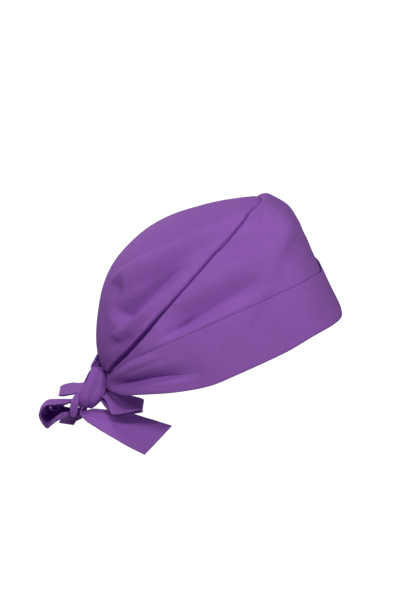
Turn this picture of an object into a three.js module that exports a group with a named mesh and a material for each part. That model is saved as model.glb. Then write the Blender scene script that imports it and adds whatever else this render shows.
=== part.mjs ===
import * as THREE from 'three';

// Scrub cap with a turned-up cuff and a tied bow, in millimetres.
// +X is the wearer's front, +Z is up, and -Y is the wearer's right side.
// The origin is the middle of the head opening.

// Driving dimensions
const CLOTH = 1.2; // thickness of one wall of cloth
const GAP = 0.4; // air between two pieces that lie on each other
const HALF_BREADTH = 80; // from the mid-plane to the widest point of the cap
const ROUNDNESS = 2.15; // 2 would make the cap's cross-section an ellipse
const FRONT_ROUNDNESS = 2.9; // the front is flatter at its sides and turns more sharply
const FRONT_BEGINS = 5; // from here forward the roundness grows
const FRONT_REACHED = 80; // and here it is the front roundness
const SEAM_GAP = 0.5; // between the crown's edge and the panel's edge
const SEAM_END_GAP = 0.9; // the same where the seam turns at the knot and at the top
const CROWN_PUFF = 2.6; // the crown stands this far above the panel beside the seam
const PUFF_REACH = 14; // the puff is reached this far from the seam
const PLEAT_HEIGHT = 1.5; // gathers in the crown above the knot
const PLEAT_REACH = 34; // the gathers fade out over this distance
const PLEAT_COUNT = 4; // gathers across the crown's lower end
const BACK_START = 0.024; // share of the way round at which cloth leaves the knot

// How finely each piece is divided
const STEPS_ROUND = 25; // from the knot to the middle of the front
const CUFF_STEPS = 6; // from the rim to the cuff's top edge
const PANEL_STEPS = 8; // from the cuff's top edge to the crown seam
const CROWN_ROWS = 29; // from the knot to the top of the seam
const CROWN_STEPS = 15; // from the seam to the middle of the crown

// The cap's outline in side view: direction (degrees up from straight ahead) and reach
// from the origin. Rows from 215 to 350 close the curve below the head opening.
const OUTLINE = [
  { angle: 5, reach: 110.5 },
  { angle: 17, reach: 110.2 },
  { angle: 29, reach: 109.6 },
  { angle: 39.5, reach: 112.8 },
  { angle: 51, reach: 120.2 },
  { angle: 58, reach: 125 },
  { angle: 61.5, reach: 129.8 },
  { angle: 66, reach: 138.6 },
  { angle: 71, reach: 141 },
  { angle: 77, reach: 142.9 },
  { angle: 82, reach: 138.9 },
  { angle: 88, reach: 135.6 },
  { angle: 100, reach: 131.2 },
  { angle: 110, reach: 130.0 },
  { angle: 121, reach: 128.8 },
  { angle: 131, reach: 127.0 },
  { angle: 142, reach: 124.9 },
  { angle: 151, reach: 121.4 },
  { angle: 161, reach: 116.6 },
  { angle: 173, reach: 112.8 },
  { angle: 183, reach: 110.5 },
  { angle: 191, reach: 109.6 },
  { angle: 199, reach: 111.8 },
  { angle: 215, reach: 121.0 },
  { angle: 240, reach: 136.0 },
  { angle: 270, reach: 150.0 },
  { angle: 310, reach: 135.0 },
  { angle: 345, reach: 114.0 },
];

// Lines on the cap's right side, seen from the side, from the knot to the front
const RIM = [
  { x: -107, z: -31.8 },
  { x: -98, z: -29.2 },
  { x: -90, z: -27.6 },
  { x: -72, z: -22.8 },
  { x: -42.6, z: -17 },
  { x: -13, z: -9.6 },
  { x: 7.3, z: -0.8 },
  { x: 30.5, z: 9.5 },
  { x: 52, z: 19.2 },
  { x: 79.4, z: 32.6 },
  { x: 98.5, z: 37.4 },
  { x: 104.5, z: 37.4 },
];
const CUFF_TOP = [
  { x: -107, z: -26.4 },
  { x: -93.4, z: -5.8 },
  { x: -82.4, z: 4.8 },
  { x: -64.2, z: 16.8 },
  { x: -39, z: 30.6 },
  { x: -10.5, z: 43.8 },
  { x: 25, z: 59.6 },
  { x: 61, z: 73.6 },
  { x: 79.2, z: 78 },
  { x: 88, z: 78.4 },
];
const SEAM = [
  { x: -108, z: -20.4 },
  { x: -100.2, z: -4.8 },
  { x: -87, z: 12.2 },
  { x: -71, z: 32.2 },
  { x: -56.9, z: 50.2 },
  { x: -42.6, z: 66 },
  { x: -28.3, z: 81.7 },
  { x: -10.5, z: 101.1 },
  { x: 12.8, z: 123.7 },
  { x: 22.8, z: 134.6 },
  { x: 33, z: 142.6 },
];

// Folds: a line bent towards its middle point in the side view, how far the fold reaches
// above and below the line, its height (dents are negative), the share of the reach left
// where it starts, the shares of its length over which it rises and fades, how much of it
// the left side of the cap has, and how sharp it is (0 is round, 1 is a straight-sided V).
const CROWN_FOLDS = [
  { x1: -100, z1: 66, x2: -52, z2: 108, x3: 20, z3: 131, above: 6, below: 11, height: 6.5,
    start: 0.9, rise: 0.12, fade: 0.35, left: 0.7, sharp: 0.5 },
  { x1: -94, z1: 34, x2: -68, z2: 71, x3: -20, z3: 105, above: 20, below: 8, height: -12,
    start: 0.8, rise: 0.14, fade: 0.45, left: 0.7, sharp: 0.6 },
  { x1: -99, z1: 20, x2: -80, z2: 42, x3: -52, z3: 72, above: 5, below: 7, height: 4,
    start: 1, rise: 0.15, fade: 0.5, left: 0.6, sharp: 0.7 },
  { x1: -104, z1: 8, x2: -93, z2: 20, x3: -80, z3: 33, above: 7, below: 8, height: -3.5,
    start: 0.8, rise: 0.4, fade: 0.4, left: 0.6, sharp: 0.2 },
  { x1: -88, z1: 80, x2: -91, z2: 67, x3: -98, z3: 50, above: 4, below: 7, height: -2,
    start: 1, rise: 0.3, fade: 0.5, left: 0.3, sharp: 0.3 },
];
const CUFF_FOLDS = [
  { x1: -104, z1: -27, x2: -68, z2: -7, x3: -12, z3: 2, above: 16, below: 6, height: -9.2,
    start: 0.5, rise: 0.24, fade: 0.5, left: 0.8, sharp: 0.6 },
  { x1: -104, z1: -31, x2: -82, z2: -23, x3: -40, z3: -14, above: 5, below: 7, height: 1.5,
    start: 0.4, rise: 0.3, fade: 0.5, left: 0.8, sharp: 0 },
  { x1: -105, z1: -22, x2: -84, z2: 5, x3: -50, z3: 16, above: 6, below: 5, height: 3,
    start: 0.4, rise: 0.3, fade: 0.5, left: 0.8, sharp: 0.5 },
];
const PANEL_FOLDS = [
  { x1: -58, z1: 29, x2: -16, z2: 55, x3: 48, z3: 84, above: 24, below: 9, height: -10,
    start: 0.9, rise: 0.3, fade: 0.35, left: 0.7, sharp: 0.4 },
  { x1: -8, z1: 98, x2: 10, z2: 106, x3: 46, z3: 119, above: 13, below: 8, height: -5,
    start: 1, rise: 0.4, fade: 0.4, left: 0.5, sharp: 0.2 },
  { x1: -60, z1: 22, x2: -42, z2: 34, x3: -20, z3: 46, above: 10, below: 4, height: -4,
    start: 1, rise: 0.4, fade: 0.4, left: 0.5, sharp: 0.4 },
  { x1: 26, z1: 137, x2: 47, z2: 139, x3: 85, z3: 83, above: 12, below: 24, height: 5.5,
    start: 0.5, rise: 0.25, fade: 0.3, left: 1, sharp: 0.8 },
];

// Knot: the turn around its long axis (0 is the top, 90 the right side), the middle of
// the wrapped band, its breadth along X, and the reach out from the long axis.
const KNOT_CENTRE = { y: -1, z: -34.5 };
const KNOT_TURNS = [
  { turn: 0, x: -114.8, breadth: 11.6, reach: 18.6 },
  { turn: 45, x: -115.9, breadth: 15.6, reach: 16.4 },
  { turn: 90, x: -119.7, breadth: 20.4, reach: 14 },
  { turn: 135, x: -122.6, breadth: 18.6, reach: 17 },
  { turn: 180, x: -125.6, breadth: 14, reach: 19.2 },
  { turn: 225, x: -123.6, breadth: 15.5, reach: 15.5 },
  { turn: 270, x: -120, breadth: 17, reach: 13.5 },
  { turn: 315, x: -117, breadth: 14, reach: 15.8 },
];
const KNOT_PROFILE = [
  { along: -0.84, out: 0.25 },
  { along: -0.88, out: 0.55 },
  { along: -0.97, out: 0.78 },
  { along: -0.9, out: 0.95 },
  { along: -0.45, out: 1.02 },
  { along: 0.1, out: 1.0 },
  { along: 0.5, out: 1.02 },
  { along: 0.92, out: 0.95 },
  { along: 0.96, out: 0.78 },
  { along: 0.88, out: 0.55 },
  { along: 0.84, out: 0.25 },
];
const KNOT_SIDES = 24;

// Straps: the middle of the cloth, the direction from its middle to its near edge, its
// width, and how far its near and far edges curl away from flat. A loop's path runs out
// along one layer and back along the other.
const FRONT_LOOP = [
  { x: -111, y: -6, z: -37.6, toX: 0, toY: -0.95, toZ: -0.3, wide: 15, near: 1, far: 1 },
  { x: -105.5, y: -10.5, z: -38.8, toX: -0.05, toY: -0.94, toZ: -0.34, wide: 24, near: 1, far: 1 },
  { x: -99, y: -18, z: -42.2, toX: -0.14, toY: -0.87, toZ: -0.47, wide: 33, near: 1, far: 0 },
  { x: -87, y: -22, z: -44.4, toX: -0.02, toY: -0.98, toZ: -0.2, wide: 34, near: 0, far: 0 },
  { x: -78.3, y: -22, z: -44.8, toX: 0, toY: -1, toZ: -0.06, wide: 34, near: 0, far: 0 },
  { x: -74, y: -21, z: -46.6, toX: 0, toY: -1, toZ: -0.04, wide: 33, near: 0, far: 0 },
  { x: -78.3, y: -19, z: -48.4, toX: 0, toY: -1, toZ: -0.05, wide: 31, near: 0, far: 0 },
  { x: -87, y: -18.5, z: -48.4, toX: 0, toY: -0.99, toZ: -0.14, wide: 30, near: 0, far: 0 },
  { x: -98.6, y: -17, z: -47.8, toX: -0.1, toY: -0.92, toZ: -0.38, wide: 29, near: 0, far: 0 },
  { x: -105.8, y: -12.5, z: -46.8, toX: 0, toY: -0.98, toZ: -0.2, wide: 22, near: 0, far: 0 },
  { x: -111.6, y: -8, z: -44.2, toX: 0, toY: -0.98, toZ: -0.16, wide: 13, near: 1, far: 1 },
];
const FRONT_TAIL = [
  { x: -129.6, y: -7.5, z: -55.9, toX: -0.3, toY: -0.95, toZ: -0.1, wide: 9, near: 0.6, far: 0.6 },
  { x: -121.5, y: -15, z: -56.4, toX: -0.32, toY: -0.88, toZ: -0.36, wide: 19, near: 1, far: 1 },
  { x: -108.6, y: -22, z: -59, toX: -0.23, toY: -0.88, toZ: -0.41, wide: 28, near: 1, far: 1 },
  { x: -93.2, y: -26, z: -64, toX: -0.24, toY: -0.83, toZ: -0.51, wide: 34, near: 0, far: 0 },
  { x: -77.4, y: -28, z: -69.9, toX: -0.42, toY: -0.68, toZ: -0.6, wide: 34, near: 0, far: 0 },
  { x: -60.2, y: -28.4, z: -76.6, toX: -0.67, toY: -0.4, toZ: -0.62, wide: 36, near: 0, far: 0 },
];
const UPPER_LOOP = [
  { x: -131.9, y: 2.5, z: -36.9, toX: 0, toY: -0.99, toZ: -0.11, wide: 22, near: 0.5, far: 0.5 },
  { x: -138.6, y: 5, z: -38.2, toX: 0, toY: -1, toZ: -0.08, wide: 29, near: 0.5, far: 0.5 },
  { x: -146.6, y: 7, z: -39.6, toX: 0, toY: -1, toZ: -0.05, wide: 30, near: 0, far: 0 },
  { x: -150.2, y: 8.5, z: -41.5, toX: 0, toY: -1, toZ: 0, wide: 29, near: 0, far: 0 },
  { x: -146.6, y: 11.5, z: -43, toX: 0, toY: -1, toZ: 0, wide: 27, near: 0, far: 0 },
  { x: -139, y: 10, z: -41.6, toX: 0, toY: -1, toZ: 0, wide: 25, near: 0, far: 0 },
  { x: -132.1, y: 6, z: -40.2, toX: 0, toY: -1, toZ: 0, wide: 15, near: 0, far: 0 },
];
const LOWER_LOOP = [
  { x: -133, y: -4, z: -43.8, toX: 0, toY: -1, toZ: -0.1, wide: 10, near: 0, far: 0 },
  { x: -139.5, y: -6, z: -45.4, toX: 0, toY: -1, toZ: 0, wide: 14, near: 0, far: -4 },
  { x: -145.5, y: -11, z: -44, toX: 0, toY: -1, toZ: 0, wide: 25, near: 0, far: -10 },
  { x: -152.5, y: -13, z: -43.4, toX: 0, toY: -1, toZ: 0, wide: 29, near: 0, far: -13.5 },
  { x: -161, y: -13, z: -44.6, toX: 0, toY: -1, toZ: 0, wide: 30, near: 0, far: -11.5 },
  { x: -166.8, y: -12, z: -52.5, toX: 0, toY: -1, toZ: 0, wide: 31, near: 0, far: -7.5 },
  { x: -165, y: -11, z: -62, toX: 0, toY: -1, toZ: 0, wide: 31, near: -1, far: -6.5 },
  { x: -160, y: -10, z: -67.6, toX: 0, toY: -1, toZ: 0, wide: 31, near: -1.5, far: -7 },
  { x: -152, y: -8.5, z: -63.8, toX: 0, toY: -1, toZ: 0, wide: 30, near: -6, far: -10.5 },
  { x: -144.5, y: -7, z: -60.4, toX: 0, toY: -1, toZ: 0, wide: 22, near: -7, far: -7 },
  { x: -138.6, y: -4.5, z: -56.4, toX: 0, toY: -1, toZ: 0, wide: 12, near: -2, far: -2 },
  { x: -132.9, y: -3.5, z: -50.4, toX: 0, toY: -1, toZ: 0, wide: 10, near: 0, far: 0 },
];
const BACK_TAIL = [
  { x: -127.6, y: 3.5, z: -55, toX: 0.55, toY: -0.83, toZ: 0, wide: 9, near: 0.5, far: 0.5 },
  { x: -131, y: 5, z: -59.6, toX: 0.7, toY: -0.7, toZ: -0.1, wide: 14, near: 0.5, far: 0.5 },
  { x: -137.8, y: 8.5, z: -64.4, toX: 0.5, toY: -0.86, toZ: 0, wide: 25, near: 0, far: 0 },
  { x: -142.6, y: 11.5, z: -69, toX: 0.45, toY: -0.88, toZ: 0.15, wide: 31, near: 0, far: 0 },
  { x: -144.8, y: 12.5, z: -73.5, toX: 0.45, toY: -0.87, toZ: 0.2, wide: 33, near: 0, far: 0 },
];
const LEFT_TIE = [
  { x: -100.2, y: 41.2, z: -17.6, toX: 0, toY: 0, toZ: 1, wide: 25, near: 0, far: 0 },
  { x: -110.8, y: 26, z: -17.5, toX: -0.1, toY: 0, toZ: 0.99, wide: 23, near: 0.5, far: 0.5 },
  { x: -115.8, y: 17, z: -20.8, toX: -0.15, toY: -0.2, toZ: 0.97, wide: 19, near: 1, far: 1 },
  { x: -118.6, y: 15, z: -23.4, toX: -0.2, toY: -0.45, toZ: 0.87, wide: 15, near: 1, far: 1 },
];
const SMALL_WRAP = [
  { x: -133.4, y: -13, z: -38.4, toX: -1, toY: 0, toZ: -0.1, wide: 4.5, near: 0.3, far: 0.3 },
  { x: -135.6, y: -15.6, z: -45, toX: -0.98, toY: 0, toZ: -0.2, wide: 7, near: 0.3, far: 0.3 },
  { x: -136.4, y: -15.4, z: -52, toX: -0.98, toY: 0, toZ: -0.15, wide: 7, near: 0.3, far: 0.3 },
  { x: -136.9, y: -11.4, z: -59.6, toX: -1, toY: 0, toZ: 0, wide: 3.6, near: 0.3, far: 0.3 },
];

const COLOURS = {
  front_panel: 0x8a52a8,
  cuff: 0x9058b0,
  crown: 0x8f59ad,
  left_tie: 0x6d3b88,
  knot: 0x8a54a8,
  small_wrap: 0x84509f,
  front_loop: 0x8f58ad,
  front_tail: 0x9258b2,
  upper_loop: 0x8b55a9,
  lower_loop: 0x8853a4,
  back_tail: 0x7d4a94,
};

function smoothStep(value) {
  const share = Math.min(1, Math.max(0, value));
  return share * share * (3 - 2 * share);
}

function blend(from, to, share) {
  return from + (to - from) * share;
}

// Reach of the outline in one direction, by a smooth curve through the table's rows
function reachAt(angle) {
  const count = OUTLINE.length;
  const turned = ((angle % 360) + 360) % 360;
  let next = OUTLINE.findIndex((row) => row.angle > turned);
  if (next < 0) next = count;
  const row = (index) => {
    const lap = Math.floor(index / count);
    const source = OUTLINE[index - lap * count];
    return { angle: source.angle + 360 * lap, reach: source.reach };
  };
  const [before, start, end, after] = [next - 2, next - 1, next, next + 1].map(row);
  const span = end.angle - start.angle;
  const share = (turned - start.angle) / span;
  const slopeIn = (end.reach - before.reach) / (end.angle - before.angle);
  const slopeOut = (after.reach - start.reach) / (after.angle - start.angle);
  const squared = share * share;
  const cubed = squared * share;
  return (2 * cubed - 3 * squared + 1) * start.reach
    + (cubed - 2 * squared + share) * span * slopeIn
    + (3 * squared - 2 * cubed) * end.reach
    + (cubed - squared) * span * slopeOut;
}

function angleOf(point) {
  return THREE.MathUtils.radToDeg(Math.atan2(point.z, point.x));
}

function onOutline(angle) {
  const radians = THREE.MathUtils.degToRad(angle);
  const reach = reachAt(angle);
  return new THREE.Vector3(reach * Math.cos(radians), 0, reach * Math.sin(radians));
}

// Lifts a point of the side view onto the cap's right side (side 1) or left side (-1)
function onCap(point, side) {
  const share = Math.min(1, Math.hypot(point.x, point.z) / reachAt(angleOf(point)));
  const frontShare = smoothStep((point.x - FRONT_BEGINS) / (FRONT_REACHED - FRONT_BEGINS));
  const roundness = blend(ROUNDNESS, FRONT_ROUNDNESS, frontShare);
  const depth = HALF_BREADTH * (1 - share ** roundness) ** (1 / roundness);
  return new THREE.Vector3(point.x, -side * depth, point.z);
}

// A smooth line through table rows, with both ends set on the outline
function sideLine(rows) {
  const points = rows.map((row) => new THREE.Vector3(row.x, 0, row.z));
  points[0] = onOutline(angleOf(points[0]));
  points[points.length - 1] = onOutline(angleOf(points[points.length - 1]));
  return new THREE.CatmullRomCurve3(points, false, 'centripetal');
}

const rimLine = sideLine(RIM);
const cuffLine = sideLine(CUFF_TOP);
const seamLine = sideLine(SEAM);

// Equal steps of this measure go round a half ellipse from the knot to the front
function alongFrom(step) {
  return (1 - Math.cos(Math.PI * step)) / 2;
}

// A point between two side lines, corrected so that both ends follow the outline
function between(lower, upper, along, share) {
  const point = lower.getPointAt(along).lerp(upper.getPointAt(along), share);
  for (const end of [0, 1]) {
    const straight = lower.getPointAt(end).lerp(upper.getPointAt(end), share);
    const angleLow = (angleOf(lower.getPointAt(end)) + 360) % 360;
    const angleHigh = (angleOf(upper.getPointAt(end)) + 360) % 360;
    const wanted = onOutline(blend(angleLow, angleHigh, share));
    const weight = end === 1 ? along ** 3 : (1 - along) ** 12;
    point.addScaledVector(wanted.sub(straight), weight);
  }
  return point;
}

function foldLine(fold) {
  return new THREE.QuadraticBezierCurve(
    new THREE.Vector2(fold.x1, fold.z1),
    new THREE.Vector2(fold.x2, fold.z2),
    new THREE.Vector2(fold.x3, fold.z3),
  ).getPoints(16);
}

// The nearest place on a line: the share of the way along it, and the distance, which is
// positive on the line's upper side
function placeBeside(line, x, z) {
  let best = { distance: Infinity, share: 0, side: 1 };
  for (let i = 0; i < line.length - 1; i += 1) {
    const stepX = line[i + 1].x - line[i].x;
    const stepZ = line[i + 1].y - line[i].y;
    const dot = (x - line[i].x) * stepX + (z - line[i].y) * stepZ;
    const share = Math.min(1, Math.max(0, dot / (stepX * stepX + stepZ * stepZ)));
    const awayX = x - line[i].x - stepX * share;
    const awayZ = z - line[i].y - stepZ * share;
    const distance = Math.hypot(awayX, awayZ);
    if (distance < best.distance) {
      const side = stepX * awayZ - stepZ * awayX >= 0 ? 1 : -1;
      best = { distance, share: (i + share) / (line.length - 1), side };
    }
  }
  return best;
}

function foldHeight(folds, point, side) {
  let height = 0;
  for (const fold of folds) {
    const place = placeBeside(foldLine(fold), point.x, point.z);
    const widening = blend(fold.start, 1, place.share);
    const reach = (place.side > 0 ? fold.above : fold.below) * widening;
    if (place.distance < reach) {
      const rounded = 0.5 + 0.5 * Math.cos((Math.PI * place.distance) / reach);
      const across = blend(rounded, 1 - place.distance / reach, fold.sharp);
      const rising = smoothStep(place.share / fold.rise);
      const fading = smoothStep((1 - place.share) / fold.fade);
      const amount = side > 0 ? 1 : fold.left;
      height += fold.height * amount * across * rising * fading;
    }
  }
  return height;
}

// Unit normals of a grid of points, turned away from the middle of the cap
function gridNormals(grid) {
  const middle = new THREE.Vector3(-10, 0, 40);
  return grid.map((row, i) => row.map((point, j) => {
    const back = grid[Math.max(0, i - 1)][j];
    const ahead = grid[Math.min(grid.length - 1, i + 1)][j];
    const below = row[Math.max(0, j - 1)];
    const above = row[Math.min(row.length - 1, j + 1)];
    const normal = ahead.clone().sub(back).cross(above.clone().sub(below)).normalize();
    const outward = point.clone().sub(middle);
    return normal.dot(outward) < 0 ? normal.negate() : normal;
  }));
}

function offsetGrid(grid, normals, distance) {
  return grid.map((row, i) => row.map(
    (point, j) => point.clone().addScaledVector(normals[i][j], distance),
  ));
}

// Closed solid between two grids of the same size
function wall(outer, inner) {
  const rows = outer.length;
  const columns = outer[0].length;
  const points = [...outer.flat(), ...inner.flat()];
  const innerStart = rows * columns;
  const at = (i, j) => i * columns + j;
  const triangles = [];
  const quad = (a, b, c, d) => triangles.push(a, b, c, a, c, d);
  for (let i = 0; i < rows - 1; i += 1) {
    for (let j = 0; j < columns - 1; j += 1) {
      quad(at(i, j), at(i + 1, j), at(i + 1, j + 1), at(i, j + 1));
      quad(
        innerStart + at(i, j),
        innerStart + at(i, j + 1),
        innerStart + at(i + 1, j + 1),
        innerStart + at(i + 1, j),
      );
    }
  }
  const edge = [];
  for (let j = 0; j < columns - 1; j += 1) edge.push(at(0, j));
  for (let i = 0; i < rows - 1; i += 1) edge.push(at(i, columns - 1));
  for (let j = columns - 1; j > 0; j -= 1) edge.push(at(rows - 1, j));
  for (let i = rows - 1; i > 0; i -= 1) edge.push(at(i, 0));
  edge.forEach((here, index) => {
    const next = edge[(index + 1) % edge.length];
    quad(here, next, innerStart + next, innerStart + here);
  });
  return solid(points, triangles);
}

// Geometry from points and triangle corners, turned so that its faces look outward
function solid(points, triangles) {
  let volume = 0;
  for (let i = 0; i < triangles.length; i += 3) {
    const [a, b, c] = [0, 1, 2].map((corner) => points[triangles[i + corner]]);
    volume += a.dot(b.clone().cross(c));
  }
  const facing = volume < 0 ? [...triangles].reverse() : triangles;
  const geometry = new THREE.BufferGeometry();
  const positions = points.flatMap((point) => [point.x, point.y, point.z]);
  geometry.setAttribute('position', new THREE.Float32BufferAttribute(positions, 3));
  geometry.setIndex(facing);
  geometry.computeVertexNormals();
  return geometry;
}

// Grid of the band from rim to seam, from the right side of the knot round the front
function sideGrid() {
  const rightRows = [];
  const leftRows = [];
  for (let i = 0; i <= STEPS_ROUND; i += 1) {
    const along = alongFrom(blend(BACK_START, 1, i / STEPS_ROUND));
    const flat = [];
    for (let j = 0; j < CUFF_STEPS; j += 1) {
      flat.push(between(rimLine, cuffLine, along, j / CUFF_STEPS));
    }
    for (let j = 0; j <= PANEL_STEPS; j += 1) {
      flat.push(between(cuffLine, seamLine, along, j / PANEL_STEPS));
    }
    rightRows.push(flat.map((point) => onCap(point, 1)));
    leftRows.unshift(flat.map((point) => onCap(point, -1)));
  }
  const grid = [...rightRows, ...leftRows.slice(1)];
  return relieved(grid, (point, side, i, j) => {
    const abovePart = smoothStep((j - CUFF_STEPS) / 3);
    return foldHeight(PANEL_FOLDS, point, side) * abovePart
      + foldHeight(CUFF_FOLDS, point, side) * (1 - abovePart);
  });
}

function relieved(grid, heightAt) {
  const normals = gridNormals(grid);
  return grid.map((row, i) => row.map((point, j) => {
    const side = point.y > 0 ? -1 : 1;
    return point.clone().addScaledVector(normals[i][j], heightAt(point, side, i, j));
  }));
}

function panelGeometry(grid, normals) {
  return wall(grid, offsetGrid(grid, normals, -CLOTH));
}

// The cuff's section starts a little way up inside, runs round the rim and up its outer face
function cuffGeometry(grid, normals) {
  const outer = [];
  const inner = [];
  const near = GAP;
  const far = GAP + CLOTH;
  grid.forEach((row, i) => {
    const lift = (j, distance) => row[j].clone().addScaledVector(normals[i][j], distance);
    const down = row[0].clone().sub(row[1]).normalize();
    const below = (distance, drop) => lift(0, distance).addScaledVector(down, drop);
    const inside = -CLOTH - 2 * near;
    const outerRow = [lift(1, inside - CLOTH), lift(0, inside - CLOTH)];
    const innerRow = [lift(1, inside), lift(0, inside)];
    outerRow.push(below(-CLOTH - far * 0.35, far), below(far * 0.35, far));
    innerRow.push(below(-CLOTH - near * 0.3, near), below(near * 0.3, near));
    for (let j = 0; j <= CUFF_STEPS; j += 1) {
      outerRow.push(lift(j, far));
      innerRow.push(lift(j, near));
    }
    outer.push(outerRow);
    inner.push(innerRow);
  });
  return wall(outer, inner);
}

// Line along the middle of the crown, from just above the knot to the top of the seam
function crownMiddle() {
  const start = ((angleOf(seamLine.getPointAt(0)) + 360) % 360) - 1.4;
  const top = angleOf(seamLine.getPointAt(1));
  const points = [];
  for (let angle = start; angle > top; angle -= 4) points.push(onOutline(angle));
  points.push(onOutline(top));
  return new THREE.CatmullRomCurve3(points, false, 'centripetal');
}

// A point of the seam moved into the crown, so that a gap is left along the panel's edge
function crownEdge(along, middle, gap) {
  const step = 0.002;
  const here = seamLine.getPointAt(along);
  const start = onCap(here, 1);
  const run = onCap(seamLine.getPointAt(along + step), 1);
  run.sub(onCap(seamLine.getPointAt(along - step), 1)).normalize();
  const inward = onCap(here.clone().lerp(middle, 0.02), 1).sub(start);
  inward.addScaledVector(run, -inward.dot(run)).normalize();
  const moved = start.addScaledVector(inward, gap);
  return new THREE.Vector3(moved.x, 0, moved.z);
}

// Grid of the crown, each row from the right seam over the middle to the left seam
function crownGrid() {
  const middleLine = crownMiddle();
  const firstStep = 0.034;
  const lastStep = 0.94;
  const grid = [];
  for (let i = 0; i <= CROWN_ROWS; i += 1) {
    const along = alongFrom(blend(firstStep, lastStep, i / CROWN_ROWS));
    const fromEnd = Math.min(i, CROWN_ROWS - i) / CROWN_ROWS;
    const gap = blend(SEAM_END_GAP, SEAM_GAP, smoothStep(fromEnd / 0.12));
    const middle = onOutline(angleOf(middleLine.getPointAt(along)));
    const edge = crownEdge(along, middle, gap);
    const row = [];
    for (let j = -CROWN_STEPS; j <= CROWN_STEPS; j += 1) {
      const share = 1 - Math.cos((Math.PI / 2) * Math.abs(j / CROWN_STEPS));
      row.push(onCap(middle.clone().lerp(edge, share), j < 0 ? 1 : -1));
    }
    grid.push(row);
  }
  return grid;
}

function crownHeight(grid) {
  return (point, side, i, j) => {
    const row = grid[i];
    const edge = row[side > 0 ? 0 : row.length - 1];
    const fromSeam = point.distanceTo(edge);
    const fromKnot = point.distanceTo(grid[0][CROWN_STEPS]);
    const rowShare = i / (grid.length - 1);
    const ends = smoothStep(rowShare / 0.25) * smoothStep((1 - rowShare) / 0.12);
    const puff = CROWN_PUFF * smoothStep(fromSeam / PUFF_REACH) * ends;
    const fromMiddle = smoothStep((1 - Math.abs(j / CROWN_STEPS - 1)) * 2);
    const middle = smoothStep(Math.abs(j / CROWN_STEPS - 1) * 3);
    const folds = foldHeight(CROWN_FOLDS, point, side) * smoothStep(fromSeam / 8) * middle;
    const wave = Math.cos(Math.PI * PLEAT_COUNT * (j / CROWN_STEPS - 1));
    const gathered = smoothStep(rowShare / 0.08) * Math.exp(-fromKnot / PLEAT_REACH);
    return puff * fromMiddle + folds + PLEAT_HEIGHT * wave * gathered * fromMiddle;
  };
}

function crownGeometry() {
  const plain = crownGrid();
  const grid = relieved(plain, crownHeight(plain));
  return wall(grid, offsetGrid(grid, gridNormals(grid), -CLOTH));
}

// A band of cloth along table rows, divided between rows and across its width
function strapGeometry(rows, steps) {
  const across = 4;
  const middles = new THREE.CatmullRomCurve3(
    rows.map((row) => new THREE.Vector3(row.x, row.y, row.z)),
  );
  const halves = new THREE.CatmullRomCurve3(rows.map((row) => (
    new THREE.Vector3(row.toX, row.toY, row.toZ).setLength(row.wide / 2)
  )));
  const curls = new THREE.CatmullRomCurve3(
    rows.map((row) => new THREE.Vector3(row.near, row.far, 0)),
  );
  const outer = [];
  const inner = [];
  for (let i = 0; i <= steps; i += 1) {
    const share = i / steps;
    const middle = middles.getPoint(share);
    const half = halves.getPoint(share);
    const curl = curls.getPoint(share);
    const face = middles.getTangent(share).cross(half).normalize();
    const outerRow = [];
    const innerRow = [];
    for (let j = 0; j <= across; j += 1) {
      const side = (2 * j) / across - 1;
      const point = middle.clone().addScaledVector(half, side);
      point.addScaledVector(face, (side > 0 ? curl.x : curl.y) * side * side);
      outerRow.push(point.clone().addScaledVector(face, CLOTH / 2));
      innerRow.push(point.clone().addScaledVector(face, -CLOTH / 2));
    }
    outer.push(outerRow);
    inner.push(innerRow);
  }
  return wall(outer, inner);
}

// The wrapped knot: rings around its long axis, closed by a point at each end
function knotGeometry() {
  const sizes = new THREE.CatmullRomCurve3(
    KNOT_TURNS.map((row) => new THREE.Vector3(row.x, row.breadth, row.reach)),
    true,
  );
  const points = [];
  const triangles = [];
  KNOT_PROFILE.forEach((place) => {
    for (let k = 0; k < KNOT_SIDES; k += 1) {
      const share = k / KNOT_SIDES;
      const size = sizes.getPoint(share);
      const turn = 2 * Math.PI * share;
      const out = size.z * place.out;
      points.push(new THREE.Vector3(
        size.x + (place.along * size.y) / 2,
        KNOT_CENTRE.y - out * Math.sin(turn),
        KNOT_CENTRE.z + out * Math.cos(turn),
      ));
    }
  });
  const rings = KNOT_PROFILE.length;
  const mean = (column) => (
    KNOT_TURNS.reduce((sum, row) => sum + row[column], 0) / KNOT_TURNS.length
  );
  for (const place of [KNOT_PROFILE[0], KNOT_PROFILE[rings - 1]]) {
    const x = mean('x') + (place.along * mean('breadth')) / 2;
    points.push(new THREE.Vector3(x, KNOT_CENTRE.y, KNOT_CENTRE.z));
  }
  const at = (ring, k) => ring * KNOT_SIDES + (k % KNOT_SIDES);
  for (let k = 0; k < KNOT_SIDES; k += 1) {
    for (let ring = 0; ring < rings - 1; ring += 1) {
      triangles.push(at(ring, k), at(ring + 1, k), at(ring + 1, k + 1));
      triangles.push(at(ring, k), at(ring + 1, k + 1), at(ring, k + 1));
    }
    triangles.push(rings * KNOT_SIDES, at(0, k), at(0, k + 1));
    triangles.push(rings * KNOT_SIDES + 1, at(rings - 1, k + 1), at(rings - 1, k));
  }
  return solid(points, triangles);
}

function clothPiece(name, geometry) {
  const material = new THREE.MeshStandardMaterial({
    color: COLOURS[name],
    roughness: 0.85,
    metalness: 0,
  });
  const mesh = new THREE.Mesh(geometry, material);
  mesh.name = name;
  return mesh;
}

const bandGrid = sideGrid();
const bandNormals = gridNormals(bandGrid);

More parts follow.
